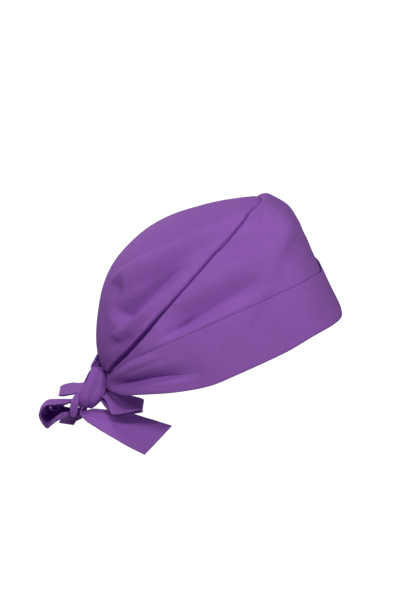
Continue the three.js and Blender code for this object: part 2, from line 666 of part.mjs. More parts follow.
const cap = new THREE.Group();
cap.name = 'scrub_cap';
cap.add(
  clothPiece('front_panel', panelGeometry(bandGrid, bandNormals)),
  clothPiece('cuff', cuffGeometry(bandGrid, bandNormals)),
  clothPiece('crown', crownGeometry()),
  clothPiece('left_tie', strapGeometry(LEFT_TIE, 8)),
  clothPiece('knot', knotGeometry()),
  clothPiece('small_wrap', strapGeometry(SMALL_WRAP, 8)),
  clothPiece('front_loop', strapGeometry(FRONT_LOOP, 26)),
  clothPiece('front_tail', strapGeometry(FRONT_TAIL, 14)),
  clothPiece('upper_loop', strapGeometry(UPPER_LOOP, 18)),
  clothPiece('lower_loop', strapGeometry(LOWER_LOOP, 28)),
  clothPiece('back_tail', strapGeometry(BACK_TAIL, 10)),
);

export default cap;
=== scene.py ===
"""Scrub cap: the fine cloth, its materials, the light and the camera.

Tables are in millimetres, in the part's frame: +X is the wearer's front, +Z is up and -Y is
the wearer's right side, which the camera sees.
"""

import math

import bpy
import numpy as np
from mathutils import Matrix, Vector, noise


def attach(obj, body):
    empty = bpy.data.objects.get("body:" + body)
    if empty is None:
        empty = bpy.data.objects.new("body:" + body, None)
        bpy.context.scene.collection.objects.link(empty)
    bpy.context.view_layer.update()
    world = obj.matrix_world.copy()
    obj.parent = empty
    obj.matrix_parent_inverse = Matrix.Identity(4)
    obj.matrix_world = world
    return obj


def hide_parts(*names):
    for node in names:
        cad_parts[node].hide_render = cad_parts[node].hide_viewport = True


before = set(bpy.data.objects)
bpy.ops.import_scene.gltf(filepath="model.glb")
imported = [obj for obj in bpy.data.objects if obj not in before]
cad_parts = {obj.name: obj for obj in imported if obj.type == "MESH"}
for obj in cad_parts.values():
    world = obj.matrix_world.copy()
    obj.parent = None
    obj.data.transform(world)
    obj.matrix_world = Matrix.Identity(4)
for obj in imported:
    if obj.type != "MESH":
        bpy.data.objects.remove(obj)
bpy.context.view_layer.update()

MM = 0.001

# Driving dimensions, as in the part
CLOTH = 1.2  # thickness of one wall of cloth
GAP = 0.4  # air between two pieces that lie on each other
HALF_BREADTH = 80.0
ROUNDNESS = 2.15  # exponent of the cap's section, where 2 is an ellipse
FRONT_ROUNDNESS = 2.9  # the section is squarer at the front
FRONT_BEGINS = 5.0  # x where the section begins to grow squarer
FRONT_REACHED = 80.0  # x where it has the front's exponent
CROWN_PUFF = 2.6  # how far the crown swells beside its seam
PUFF_REACH = 14.0  # from the seam to the full swell
PLEAT_HEIGHT = 1.5  # of the gathers above the knot
PLEAT_REACH = 34.0  # the gathers fade over about this distance
PLEAT_COUNT = 4  # gathers on each side
BACK_START = 0.024  # the cuff and the panel begin this share of their steps from the knot
TIE_WIDTH = 34.0  # a tie is gathered into pleats where it is narrower than this
CAP_MIDDLE = np.array([-10.0, 0.0, 40.0])
KNOT_MIDDLE = np.array([-120.0, -1.0, -34.5])

# Fine cloth
CLOTH_SHOWN = 1.0  # thickness of the cloth that is seen
SEAM_DEPTH = 4.2  # how deep both edges turn in at the crown seam
SEAM_TURN = 2.4  # the turn begins this far from the seam
STITCH = 2.4  # length of one stitch
STITCH_SPACE = 3.3  # from one stitch to the next
FIRST_STITCH = 0.6  # from the start of a row to its first stitch
THREAD = 0.26  # radius of the sewing thread
THREAD_SIDES = 5
HEMS = (0.08, 0.92)  # where the hems lie across a tie, as shares of its width
END_HEM = 5.0  # from a tie's free end to the stitches of its hem
TIE_PLEATS = 3  # half waves of a gathered tie, on each side of its middle
TIE_WRINKLE = 0.35  # height of a tie's soft wrinkles
PAINTED_EDGE_SHADE = (0.3, 0.24, 0.34)  # painted shade: the cloth's colour is darkened along all its edges, for the shade that falls in the creases and gaps there

# Steps of the grids
BAND_STEPS = 170  # along one side of the cuff and the panel
CUFF_ROWS = 44  # from the cuff's folded edge to its free edge
CROWN_STEPS = 190  # along the crown
GATHER_ROWS = 7  # of cloth that carries an end on into the knot
TIE_COLUMNS = 28  # across a tie
WRAP_STEPS = 140  # along the band wound round the knot

# The studio, in metres
FLOOR_WIDTH = 2.6
FLOOR_DROP = 1.2  # the floor lies this far below the origin
LAMP_AIM = (0, 0, 0.03)

# Lamps round the cap. Columns: name, place, size across in metres, power in watts
LAMPS = (
    ("high_box", (0, -2.0, 1.9), 0.5, 23.5),
    ("left_box", (-1.3, -1.8, 1.6), 0.5, 12),
    ("side_box", (-2.4, -0.6, 0.5), 0.8, 7),
    ("right_box", (2.0, -1.5, 0.6), 0.6, 6),
    ("low_box", (1.6, -1.9, -0.4), 0.8, 11),
    ("top_box", (-0.3, -0.3, 2.4), 0.6, 12.5),
    ("back_box", (-1.1, 2.2, 0.7), 0.8, 16),
    ("front_box", (1.7, 1.8, 0.6), 0.8, 9),
)

# The photo's view
VIEW_DOWN = 14  # the camera looks down by this many degrees
VIEW_DISTANCE = 2.3  # metres
VIEW_MIDDLE = (-0.0207, 0.0423)  # of the picture, across and up from the origin, in metres
PHOTO_HEIGHT = 606  # pixels
PIXEL = 0.9  # real size of one pixel at the cap, in millimetres
SENSOR = 36  # width of the camera's sensor, in millimetres

# Columns: angle (degrees up from straight ahead), reach
OUTLINE = (
    (5, 110.5),
    (17, 110.2),
    (29, 109.6),
    (39.5, 112.8),
    (51, 120.2),
    (58, 125),
    (61.5, 129.8),
    (66, 138.6),
    (71, 141),
    (77, 142.9),
    (82, 138.9),
    (88, 135.6),
    (100, 131.2),
    (110, 130.0),
    (121, 128.8),
    (131, 127.0),
    (142, 124.9),
    (151, 121.4),
    (161, 116.6),
    (173, 112.8),
    (183, 110.5),
    (191, 109.6),
    (199, 111.8),
    (215, 121.0),
    (240, 136.0),
    (270, 150.0),
    (310, 135.0),
    (345, 114.0),
)

# Columns: x, z
RIM = (
    (-107, -31.8),
    (-98, -29.2),
    (-90, -27.6),
    (-72, -22.8),
    (-42.6, -17),
    (-13, -9.6),
    (7.3, -0.8),
    (30.5, 9.5),
    (52, 19.2),
    (79.4, 32.6),
    (98.5, 37.4),
    (104.5, 37.4),
)
CUFF_TOP = (
    (-107, -26.4),
    (-93.4, -5.8),
    (-82.4, 4.8),
    (-64.2, 16.8),
    (-39, 30.6),
    (-10.5, 43.8),
    (25, 59.6),
    (61, 73.6),
    (79.2, 78),
    (88, 78.4),
)
SEAM = (
    (-108, -20.4),
    (-100.2, -4.8),
    (-87, 12.2),
    (-71, 32.2),
    (-56.9, 50.2),
    (-42.6, 66),
    (-28.3, 81.7),
    (-10.5, 101.1),
    (12.8, 123.7),
    (22.8, 134.6),
    (33, 142.6),
)

# Folds. Columns: x1, z1, x2, z2, x3, z3, above, below, height, start, rise, fade, left, sharp
CROWN_FOLDS = (
    (-100, 66, -52, 108, 20, 131, 6, 11, 6.5, 0.9, 0.12, 0.35, 0.7, 0.5),
    (-94, 34, -68, 71, -20, 105, 20, 8, -12, 0.8, 0.14, 0.45, 0.7, 0.6),
    (-99, 20, -80, 42, -52, 72, 5, 7, 4, 1, 0.15, 0.5, 0.6, 0.7),
    (-104, 8, -93, 20, -80, 33, 7, 8, -3.5, 0.8, 0.4, 0.4, 0.6, 0.2),
    (-88, 80, -91, 67, -98, 50, 4, 7, -2, 1, 0.3, 0.5, 0.3, 0.3),
)
CUFF_FOLDS = (
    (-104, -27, -68, -7, -12, 2, 16, 6, -9.2, 0.5, 0.24, 0.5, 0.8, 0.6),
    (-104, -31, -82, -23, -40, -14, 5, 7, 1.5, 0.4, 0.3, 0.5, 0.8, 0),
    (-105, -22, -84, 5, -50, 16, 6, 5, 3, 0.4, 0.3, 0.5, 0.8, 0.5),
)
PANEL_FOLDS = (
    (-58, 29, -16, 55, 48, 84, 24, 9, -10, 0.9, 0.3, 0.35, 0.7, 0.4),
    (-8, 98, 10, 106, 46, 119, 13, 8, -5, 1, 0.4, 0.4, 0.5, 0.2),
    (-60, 22, -42, 34, -20, 46, 10, 4, -4, 1, 0.4, 0.4, 0.5, 0.4),
    (26, 137, 47, 139, 85, 83, 12, 24, 5.5, 0.5, 0.25, 0.3, 1, 0.8),
)

# The knot. Columns: x of the middle of the wrapped band, breadth, reach, in eight equal turns
# from the top over the right side
KNOT_CENTRE = (-1.0, -34.5)
KNOT_TURNS = (
    (-114.8, 11.6, 18.6),
    (-115.9, 15.6, 16.4),
    (-119.7, 20.4, 14),
    (-122.6, 18.6, 17),
    (-125.6, 14, 19.2),
    (-123.6, 15.5, 15.5),
    (-120, 17, 13.5),
    (-117, 14, 15.8),
)

# Straps. Columns: x, y, z, toX, toY, toZ, wide, near, far
FRONT_LOOP = (
    (-111, -6, -37.6, 0, -0.95, -0.3, 15, 1, 1),
    (-105.5, -10.5, -38.8, -0.05, -0.94, -0.34, 24, 1, 1),
    (-99, -18, -42.2, -0.14, -0.87, -0.47, 33, 1, 0),
    (-87, -22, -44.4, -0.02, -0.98, -0.2, 34, 0, 0),
    (-78.3, -22, -44.8, 0, -1, -0.06, 34, 0, 0),
    (-74, -21, -46.6, 0, -1, -0.04, 33, 0, 0),
    (-78.3, -19, -48.4, 0, -1, -0.05, 31, 0, 0),
    (-87, -18.5, -48.4, 0, -0.99, -0.14, 30, 0, 0),
    (-98.6, -17, -47.8, -0.1, -0.92, -0.38, 29, 0, 0),
    (-105.8, -12.5, -46.8, 0, -0.98, -0.2, 22, 0, 0),
    (-111.6, -8, -44.2, 0, -0.98, -0.16, 13, 1, 1),
)
FRONT_TAIL = (
    (-129.6, -7.5, -55.9, -0.3, -0.95, -0.1, 9, 0.6, 0.6),
    (-121.5, -15, -56.4, -0.32, -0.88, -0.36, 19, 1, 1),
    (-108.6, -22, -59, -0.23, -0.88, -0.41, 28, 1, 1),
    (-93.2, -26, -64, -0.24, -0.83, -0.51, 34, 0, 0),
    (-77.4, -28, -69.9, -0.42, -0.68, -0.6, 34, 0, 0),
    (-60.2, -28.4, -76.6, -0.67, -0.4, -0.62, 36, 0, 0),
)
UPPER_LOOP = (
    (-131.9, 2.5, -36.9, 0, -0.99, -0.11, 22, 0.5, 0.5),
    (-138.6, 5, -38.2, 0, -1, -0.08, 29, 0.5, 0.5),
    (-146.6, 7, -39.6, 0, -1, -0.05, 30, 0, 0),
    (-150.2, 8.5, -41.5, 0, -1, 0, 29, 0, 0),
    (-146.6, 11.5, -43, 0, -1, 0, 27, 0, 0),
    (-139, 10, -41.6, 0, -1, 0, 25, 0, 0),
    (-132.1, 6, -40.2, 0, -1, 0, 15, 0, 0),
)
LOWER_LOOP = (
    (-133, -4, -43.8, 0, -1, -0.1, 10, 0, 0),
    (-139.5, -6, -45.4, 0, -1, 0, 14, 0, -4),
    (-145.5, -11, -44, 0, -1, 0, 25, 0, -10),
    (-152.5, -13, -43.4, 0, -1, 0, 29, 0, -13.5),
    (-161, -13, -44.6, 0, -1, 0, 30, 0, -11.5),
    (-166.8, -12, -52.5, 0, -1, 0, 31, 0, -7.5),
    (-165, -11, -62, 0, -1, 0, 31, -1, -6.5),
    (-160, -10, -67.6, 0, -1, 0, 31, -1.5, -7),
    (-152, -8.5, -63.8, 0, -1, 0, 30, -6, -10.5),
    (-144.5, -7, -60.4, 0, -1, 0, 22, -7, -7),
    (-138.6, -4.5, -56.4, 0, -1, 0, 12, -2, -2),
    (-132.9, -3.5, -50.4, 0, -1, 0, 10, 0, 0),
)
BACK_TAIL = (
    (-127.6, 3.5, -55, 0.55, -0.83, 0, 9, 0.5, 0.5),
    (-131, 5, -59.6, 0.7, -0.7, -0.1, 14, 0.5, 0.5),
    (-137.8, 8.5, -64.4, 0.5, -0.86, 0, 25, 0, 0),
    (-142.6, 11.5, -69, 0.45, -0.88, 0.15, 31, 0, 0),
    (-144.8, 12.5, -73.5, 0.45, -0.87, 0.2, 33, 0, 0),
)
LEFT_TIE = (
    (-100.2, 41.2, -17.6, 0, 0, 1, 25, 0, 0),
    (-110.8, 26, -17.5, -0.1, 0, 0.99, 23, 0.5, 0.5),
    (-115.8, 17, -20.8, -0.15, -0.2, 0.97, 19, 1, 1),
    (-118.6, 15, -23.4, -0.2, -0.45, 0.87, 15, 1, 1),
)
SMALL_WRAP = (
    (-133.4, -13, -38.4, -1, 0, -0.1, 4.5, 0.3, 0.3),
    (-135.6, -15.6, -45, -0.98, 0, -0.2, 7, 0.3, 0.3),
    (-136.4, -15.4, -52, -0.98, 0, -0.15, 7, 0.3, 0.3),
    (-136.9, -11.4, -59.6, -1, 0, 0, 3.6, 0.3, 0.3),
)


def smooth_step(value):
    """Rises smoothly from 0 to 1 as the value does."""
    share = np.clip(value, 0.0, 1.0)
    return share * share * (3 - 2 * share)


def mix(start, end, share):
    """The value a share of the way from the start to the end."""
    return start + (end - start) * share


def unit(vectors):
    """Vectors of length 1 in the same directions."""
    return vectors / np.maximum(np.linalg.norm(vectors, axis=-1, keepdims=True), 1e-9)


def reach_at(angles):
    """Reach of the outline in each direction, by a smooth curve through the table's rows."""
    rows = np.array(OUTLINE)
    count = len(rows)
    turned = np.mod(angles, 360.0)
    after = np.searchsorted(rows[:, 0], turned, side="right")

    def row(index):
        lap = np.floor_divide(index, count)
        source = rows[index - lap * count]
        return source[..., 0] + 360.0 * lap, source[..., 1]

    angle0, reach0 = row(after - 2)
    angle1, reach1 = row(after - 1)
    angle2, reach2 = row(after)
    angle3, reach3 = row(after + 1)
    span = angle2 - angle1
    t = (turned - angle1) / span
    slope_in = (reach2 - reach0) / (angle2 - angle0)
    slope_out = (reach3 - reach1) / (angle3 - angle1)
    return (
        (2 * t**3 - 3 * t**2 + 1) * reach1
        + (t**3 - 2 * t**2 + t) * span * slope_in
        + (3 * t**2 - 2 * t**3) * reach2
        + (t**3 - t**2) * span * slope_out
    )


def angle_of(points):
    """Direction of points of the side view from the origin, in degrees."""
    return np.degrees(np.arctan2(points[..., 1], points[..., 0]))


def on_outline(angles):
    """Points of the side view on the outline, in the given directions."""
    reach = reach_at(angles)
    turned = np.radians(angles)
    return np.stack([reach * np.cos(turned), reach * np.sin(turned)], axis=-1)


def on_cap(points, side):
    """Lifts points of the side view onto the cap's right side (side 1) or left side (-1)."""
    share = np.hypot(points[..., 0], points[..., 1]) / reach_at(angle_of(points))
    share = np.minimum(share, 1.0)
    front_share = smooth_step((points[..., 0] - FRONT_BEGINS) / (FRONT_REACHED - FRONT_BEGINS))
    roundness = mix(ROUNDNESS, FRONT_ROUNDNESS, front_share)
    depth = HALF_BREADTH * (1 - share**roundness) ** (1 / roundness)
    return np.stack([points[..., 0], -side * depth, points[..., 1]], axis=-1)


def curve(rows, shares, closed=False):
    """Points of a centripetal Catmull-Rom curve through the rows."""
    rows = np.asarray(rows, float)
    count = len(rows)
    place = np.asarray(shares, float) * (count if closed else count - 1)
    index = np.floor(place).astype(int)
    if closed:
        corners = [rows[(index + step) % count] for step in (-1, 0, 1, 2)]
    else:
        index = np.minimum(index, count - 2)
        ends = np.vstack([2 * rows[0] - rows[1], rows, 2 * rows[-1] - rows[-2]])
        corners = [ends[index + step] for step in (0, 1, 2, 3)]
    weight = (place - index)[:, None]
    p0, p1, p2, p3 = corners

    def interval(a, b):
        return np.sqrt(np.linalg.norm(b - a, axis=1, keepdims=True))

    middle = np.maximum(interval(p1, p2), 1e-4)
    before = np.where(interval(p0, p1) < 1e-4, middle, interval(p0, p1))
    after = np.where(interval(p2, p3) < 1e-4, middle, interval(p2, p3))
    tangent1 = (p1 - p0) / before - (p2 - p0) / (before + middle) + (p2 - p1) / middle
    tangent2 = (p2 - p1) / middle - (p3 - p1) / (middle + after) + (p3 - p2) / after
    tangent1 = tangent1 * middle
    tangent2 = tangent2 * middle
    return (
        p1
        + tangent1 * weight
        + (-3 * p1 + 3 * p2 - 2 * tangent1 - tangent2) * weight**2
        + (2 * p1 - 2 * p2 + tangent1 + tangent2) * weight**3
    )


def even_line(rows, count=401):
    """Points at equal distances along the curve through the rows."""
    fine = curve(rows, np.linspace(0, 1, 2001))
    lengths = np.linalg.norm(np.diff(fine, axis=0), axis=1)
    travelled = np.concatenate([[0], np.cumsum(lengths)])
    wanted = np.linspace(0, travelled[-1], count)
    columns = [np.interp(wanted, travelled, fine[:, k]) for k in range(fine.shape[1])]
    return np.stack(columns, axis=-1)


def side_line(rows):
    """A line of the side view, with both ends set on the outline."""
    rows = np.array(rows, float)
    for end in (0, -1):
        rows[end] = on_outline(angle_of(rows[end]))
    return even_line(rows)


def at(line, shares):
    """Points at shares of the way along a side line."""
    place = np.linspace(0, 1, len(line))
    return np.stack([np.interp(shares, place, line[:, k]) for k in range(2)], axis=-1)


def along_from(step):
    """Shares of the way along the cap for even steps, closer together at both ends."""
    return (1 - np.cos(np.pi * step)) / 2


def between(lower, upper, along, share):
    """Points between two side lines, corrected so that both ends follow the outline."""
    low = at(lower, along)[:, None, :]
    high = at(upper, along)[:, None, :]
    points = mix(low, high, share[None, :, None])
    for end in (0, 1):
        low_end = at(lower, np.array([end]))
        high_end = at(upper, np.array([end]))
        straight = mix(low_end, high_end, share[:, None])
        angles = mix(
            np.mod(angle_of(low_end), 360), np.mod(angle_of(high_end), 360), share
        )
        wanted = on_outline(angles)
        weight = along**3 if end == 1 else (1 - along) ** 12
        points = points + (wanted - straight)[None, :, :] * weight[:, None, None]
    return points


def beside(line, x, z):
    """Distance from a line, the share of the way along it, and whether the place is above."""
    best = np.full(x.shape, 1e9)
    share_along = np.zeros(x.shape)
    above = np.zeros(x.shape, bool)
    for k in range(len(line) - 1):
        step = line[k + 1] - line[k]
        dot = (x - line[k, 0]) * step[0] + (z - line[k, 1]) * step[1]
        share = np.clip(dot / (step @ step), 0, 1)
        away_x = x - line[k, 0] - step[0] * share
        away_z = z - line[k, 1] - step[1] * share
        distance = np.hypot(away_x, away_z)
        nearer = distance < best
        best = np.where(nearer, distance, best)
        share_along = np.where(nearer, (k + share) / (len(line) - 1), share_along)
        above = np.where(nearer, step[0] * away_z - step[1] * away_x >= 0, above)
    return best, share_along, above


def fold_height(folds, grid):
    """Height of the folds at each point of a grid of the cap."""
    x = grid[..., 0]
    z = grid[..., 2]
    height = np.zeros(x.shape)
    t = np.linspace(0, 1, 25)[:, None]
    for row in folds:
        ends = np.array(row[:6], float).reshape(3, 2)
        up, down, rise_to, start, rise, fade, left, sharp = row[6:]
        line = (1 - t) ** 2 * ends[0] + 2 * t * (1 - t) * ends[1] + t**2 * ends[2]
        distance, share, above = beside(line, x, z)
        reach = np.where(above, up, down) * mix(start, 1, share)
        away = np.minimum(distance / reach, 1)
        across = mix(0.5 + 0.5 * np.cos(np.pi * away), 1 - away, sharp)
        ends_share = smooth_step(share / rise) * smooth_step((1 - share) / fade)
        amount = np.where(grid[..., 1] > 0, left, 1)
        height += rise_to * amount * across * ends_share
    return height


def grid_normals(grid, outward=None):
    """Unit normals of a grid, turned as one towards the outward vectors if they are given."""
    normals = unit(np.cross(np.gradient(grid, axis=0), np.gradient(grid, axis=1)))
    if outward is not None and np.sum(normals * outward) < 0:
        normals = -normals
    return normals


def cap_normals(grid):
    """Normals of a grid that lies round the cap, turned outwards."""
    return grid_normals(grid, grid - CAP_MIDDLE)


def rumple(grid, size, seed):
    """Smooth random height from -1 to 1, with hollows of about the given size."""
    flat = grid.reshape(-1, 3)
    offset = Vector((17.3 * seed, -9.1 * seed, 4.7 * seed))
    scale = Vector((1 / size[0], 1 / size[1], 1 / size[2]))
    heights = [noise.noise(Vector(point) * scale + offset) for point in flat.tolist()]
    return np.array(heights).reshape(grid.shape[:-1])


def travelled(grid, axis):
    """Distance travelled along one direction of a grid, from its first row or column."""
    steps = np.linalg.norm(np.diff(grid, axis=axis), axis=-1)
    start = np.zeros_like(np.take(steps, [0], axis=axis))
    return np.concatenate([start, np.cumsum(steps, axis=axis)], axis=axis)


def mesh_object(name, points, faces, uv, material, edge_count=0):
    """Object at the origin from points in millimetres, faces and a UV for each point.

    The last points, edge_count of them, lie on the cloth's edges and are marked as such.
    """
    mesh = bpy.data.meshes.new(name)
    mesh.from_pydata((points * MM).tolist(), [], faces)
    layer = mesh.uv_layers.new(name="cloth")
    corners = np.zeros(len(mesh.loops), np.int32)
    mesh.loops.foreach_get("vertex_index", corners)
    layer.data.foreach_set("uv", (uv[corners] * MM).ravel().astype(np.float32))
    mesh.polygons.foreach_set("use_smooth", np.ones(len(mesh.polygons), bool))
    mesh.materials.append(material)
    on_edge = np.arange(len(points)) >= len(points) - edge_count
    marks = mesh.attributes.new("cloth_edge", "FLOAT", "POINT")
    marks.data.foreach_set("value", on_edge.astype(np.float32))
    mesh.update()
    thing = bpy.data.objects.new(name, mesh)
    bpy.context.scene.collection.objects.link(thing)
    return thing


def edge_loop(index):
    """The indices round all four edges of a grid, in order."""
    sides = [index[0, :-1], index[:-1, -1], index[-1, :0:-1], index[:0:-1, 0]]
    return np.concatenate(sides)


def cloth_faces(index, edge):
    """Faces of both sides of a cloth, and of the two bands that meet along its edge.

    The points of the upper side come first, then those of the lower side, then the edge's.
    """
    offset = index.size
    below = index + offset
    top = np.stack(
        [index[:-1, :-1], index[1:, :-1], index[1:, 1:], index[:-1, 1:]], axis=-1
    )
    bottom = np.stack(
        [below[:-1, :-1], below[:-1, 1:], below[1:, 1:], below[1:, :-1]], axis=-1
    )
    rim = np.arange(len(edge)) + 2 * offset
    following = np.roll(edge, -1)
    rim_following = np.roll(rim, -1)
    upper_band = np.stack([edge, following, rim_following, rim], axis=-1)
    lower_band = np.stack([rim, rim_following, following + offset, edge + offset], axis=-1)
    return np.vstack([top.reshape(-1, 4), bottom.reshape(-1, 4), upper_band, lower_band])


def edge_points(middle, edge, thickness):
    """Points a little outside the edges of a cloth's middle surface."""
    inner = middle.copy()
    inner[0] = middle[1]
    inner[-1] = middle[-2]
    inner[:, 0] = inner[:, 1]
    inner[:, -1] = inner[:, -2]
    ends = middle.reshape(-1, 3)[edge]
    outward = unit(ends - inner.reshape(-1, 3)[edge])
    return ends + outward * thickness * 0.45


def sheet_object(name, middle, normals, thickness, material, uv=None):
    """Closed cloth with rounded edges round a grid of its middle surface."""
    rows, columns = middle.shape[:2]
    upper = middle + normals * thickness / 2
    lower = middle - normals * thickness / 2
    index = np.arange(rows * columns).reshape(rows, columns)
    edge = edge_loop(index)
    rim = edge_points(middle, edge, thickness)
    points = np.vstack([upper.reshape(-1, 3), lower.reshape(-1, 3), rim])
    faces = cloth_faces(index, edge)
    first = points[faces[:, 0]]
    normal_sum = np.cross(points[faces[:, 1]] - first, points[faces[:, 2]] - first)
    if np.sum(first * normal_sum) < 0:
        faces = faces[:, ::-1]
    if uv is None:
        run = travelled(middle, 0)[:, columns // 2]
        across = travelled(middle, 1)
        uv = np.stack([np.broadcast_to(run[:, None], across.shape), across], axis=-1)
    flat_uv = uv.reshape(-1, 2)
    all_uv = np.vstack([flat_uv, flat_uv, flat_uv[edge]])
    return mesh_object(name, points, faces.tolist(), all_uv, material, len(edge))


def stitch_points(path, normals):
    """Points and faces of a row of stitches on a path, each a small thread lying on the cloth."""
    lengths = np.linalg.norm(np.diff(path, axis=0), axis=1)
    total = np.concatenate([[0], np.cumsum(lengths)])
    starts = np.arange(FIRST_STITCH, total[-1] - STITCH, STITCH_SPACE)

    def read(distances, values):
        columns = [np.interp(distances, total, values[:, k]) for k in range(3)]
        return np.stack(columns, axis=-1)

    sides = THREAD_SIDES
    # Rings of one stitch. Columns: share of its length, size, height over the cloth
    rings = ((0.0, 0.45, -0.1), (0.22, 1.0, 0.75), (0.78, 1.0, 0.75), (1.0, 0.45, -0.1))
    points = []
    faces = []
    for start in starts:
        ahead = unit(read(start + STITCH, path) - read(start, path))
        base = len(points)
        for share, size, lift in rings:
            centre = read(start + share * STITCH, path)
            up = unit(read(start + share * STITCH, normals))
            across = unit(np.cross(ahead, up))
            centre = centre + up * THREAD * lift
            for k in range(sides):
                turn = 2 * math.pi * k / sides
                spoke = across * math.cos(turn) + up * math.sin(turn)
                points.append(centre + spoke * THREAD * size)
        for ring in range(len(rings) - 1):
            for k in range(sides):
                here = base + ring * sides + k
                beside_it = base + ring * sides + (k + 1) % sides
                faces.append([here, beside_it, beside_it + sides, here + sides])
        last = base + (len(rings) - 1) * sides
        faces.append([base + k for k in reversed(range(sides))])
        faces.append([last + k for k in range(sides)])
    return np.array(points), faces


def stitches(name, rows, material):
    """One joined mesh of several rows of stitches, each row a path and its normals."""
    points = []
    faces = []
    count = 0
    for path, normals in rows:
        new_points, new_faces = stitch_points(path, normals)
        points.append(new_points)
        faces += [[corner + count for corner in face] for face in new_faces]
        count += len(new_points)
    points = np.vstack(points)
    return mesh_object(name, points, faces, points[:, :2], material)


def band_grid(low_shares, high_shares):
    """Grid from the rim to the seam, from the right side of the knot round to the left."""
    along = along_from(mix(BACK_START, 1, np.linspace(0, 1, BAND_STEPS + 1)))
    flat = np.concatenate(
        [
            between(rim_line, cuff_line, along, low_shares),
            between(cuff_line, seam_line, along, high_shares),
        ],
        axis=1,
    )
    right = on_cap(flat, 1)
    left = on_cap(flat, -1)[::-1]
    return np.concatenate([right, left[1:]], axis=0)


def band_relief(grid, above_part):
    """Folds of the cuff and the panel, faded into each other by the share above the cuff."""
    panel = fold_height(PANEL_FOLDS, grid) * above_part
    return panel + fold_height(CUFF_FOLDS, grid) * (1 - above_part)


def drawn_in(grid, side, centre, shrink):
    """Rows that carry one end of a cloth on into the knot, gathered towards a centre there."""
    end = grid[0] if side > 0 else grid[-1]
    goal = np.array(centre) + (end - end.mean(axis=0)) * shrink
    shares = np.linspace(0, 1, GATHER_ROWS + 1)[1:]
    extra = np.stack([mix(end, goal, share) for share in shares])
    if side > 0:
        return np.concatenate([extra[::-1], grid])
    return np.concatenate([grid, extra])


def edge_fade(grid):
    """0 on the cap's outline in side view, and 1 well inside it."""
    return smooth_step((np.abs(grid[..., 1]) - 4) / 30)


def pucker(along_seam, beat, swing, slow_beat):
    """Uneven ripple along a seam, from -1 to 1."""
    return np.sin(along_seam / beat + swing * np.sin(along_seam / slow_beat))


def make_panel(material):
    """The front and sides of the cap, puckered along the seam and run on into the knot."""
    low = np.linspace(0, 1, 10)[:-1]
    high = np.concatenate([np.linspace(0, 0.93, 56), np.linspace(0.94, 1, 14)])
    grid = band_grid(low, high)
    row_share = np.concatenate([np.zeros(len(low)), high])
    normals = cap_normals(grid)
    height = band_relief(grid, smooth_step(row_share * 2.7)[None, :])
    from_seam = travelled(grid[:, ::-1], 1)[:, ::-1]
    along_seam = travelled(grid, 0)[:, -1][:, None]
    height += 0.3 * pucker(along_seam, 1.9, 2.2, 17.0) * np.exp(-from_seam / 5.0)
    soft = rumple(grid, (34, 34, 26), 1) + 0.45 * rumple(grid, (15, 15, 13), 2)
    height += 0.7 * soft * smooth_step(row_share * 3)[None, :] * edge_fade(grid)
    height -= seam_turn(grid, from_seam)
    grid = grid + normals * (height - CLOTH / 2)[..., None]
    grid = drawn_in(grid, 1, (-113, -5, -27), 0.4)
    grid = drawn_in(grid, -1, (-113, 7, -27), 0.4)
    return sheet_object("panel_cloth", grid, cap_normals(grid), CLOTH_SHOWN, material)


def seam_turn(grid, from_seam):
    """How deep the cloth turns in beside the seam, more so low down where the seam gapes."""
    low = smooth_step((75 - grid[..., 2]) / 45)
    share = np.clip(1 - from_seam / (SEAM_TURN * (1 + 0.35 * low)), 0, 1)
    return SEAM_DEPTH * (1 + 1.3 * low) * share**1.3


def make_cuff(material):
    """The turned-up band: its outer face, the rolled fold at the rim and a short inner leg."""
    leg = np.linspace(0, 1, CUFF_ROWS)
    base = band_grid(leg, np.array([]))
    normals = cap_normals(base)
    relief = fold_height(CUFF_FOLDS, base)
    soft = rumple(base, (30, 30, 22), 3) + 0.4 * rumple(base, (13, 13, 11), 4)
    relief += 0.5 * soft * smooth_step(leg * 4)[None, :] * edge_fade(base)
    face = base + normals * relief[..., None]
    face = drawn_in(face, 1, (-113, -6, -29), 0.55)
    face = drawn_in(face, -1, (-113, 8, -27), 0.5)
    normals = cap_normals(face)
    outside = GAP + CLOTH / 2
    inside = -CLOTH - 2 * GAP - CLOTH / 2
    outer = face + normals * outside
    middle = (outside + inside) / 2
    radius = (outside - inside) / 2
    down = unit(face[:, 0] - face[:, 2])
    bend = []
    for turn in np.linspace(0, np.pi, 9)[1:-1]:
        across = middle - radius * np.cos(turn)
        drop = radius * 0.75 * np.sin(turn)
        bend.append(face[:, 0] + normals[:, 0] * across + down * drop)
    inner = face[:, 8::-2] + normals[:, 8::-2] * inside
    grid = np.concatenate([inner, np.stack(bend, axis=1), outer], axis=1)
    outward = np.zeros_like(grid)
    outward[:, -1] = normals[:, -1]
    own = grid_normals(grid, outward)
    return sheet_object("cuff_cloth", grid, own, CLOTH_SHOWN, material)


def crown_middle_line():
    """The crown's line on the cap's mid-plane, from the nape to the high point."""
    start = float(np.mod(angle_of(seam_line[0]), 360)) - 1.4
    top = float(angle_of(seam_line[-1]))
    return even_line(on_outline(np.append(np.arange(start, top, -4.0), top)))


def crown_grid(across):
    """Grid of the crown without its folds, from the nape forward, right seam to left seam."""
    along = along_from(np.linspace(0.02, 0.975, CROWN_STEPS + 1))
    middle = on_outline(angle_of(at(crown_middle_line(), along)))
    edge = at(seam_line, along)
    share = 1 - np.cos(np.pi / 2 * np.abs(across))
    flat = mix(middle[:, None, :], edge[:, None, :], share[None, :, None])
    side = np.where(across < 0, 1, -1)[None, :]
    return on_cap(flat, side)


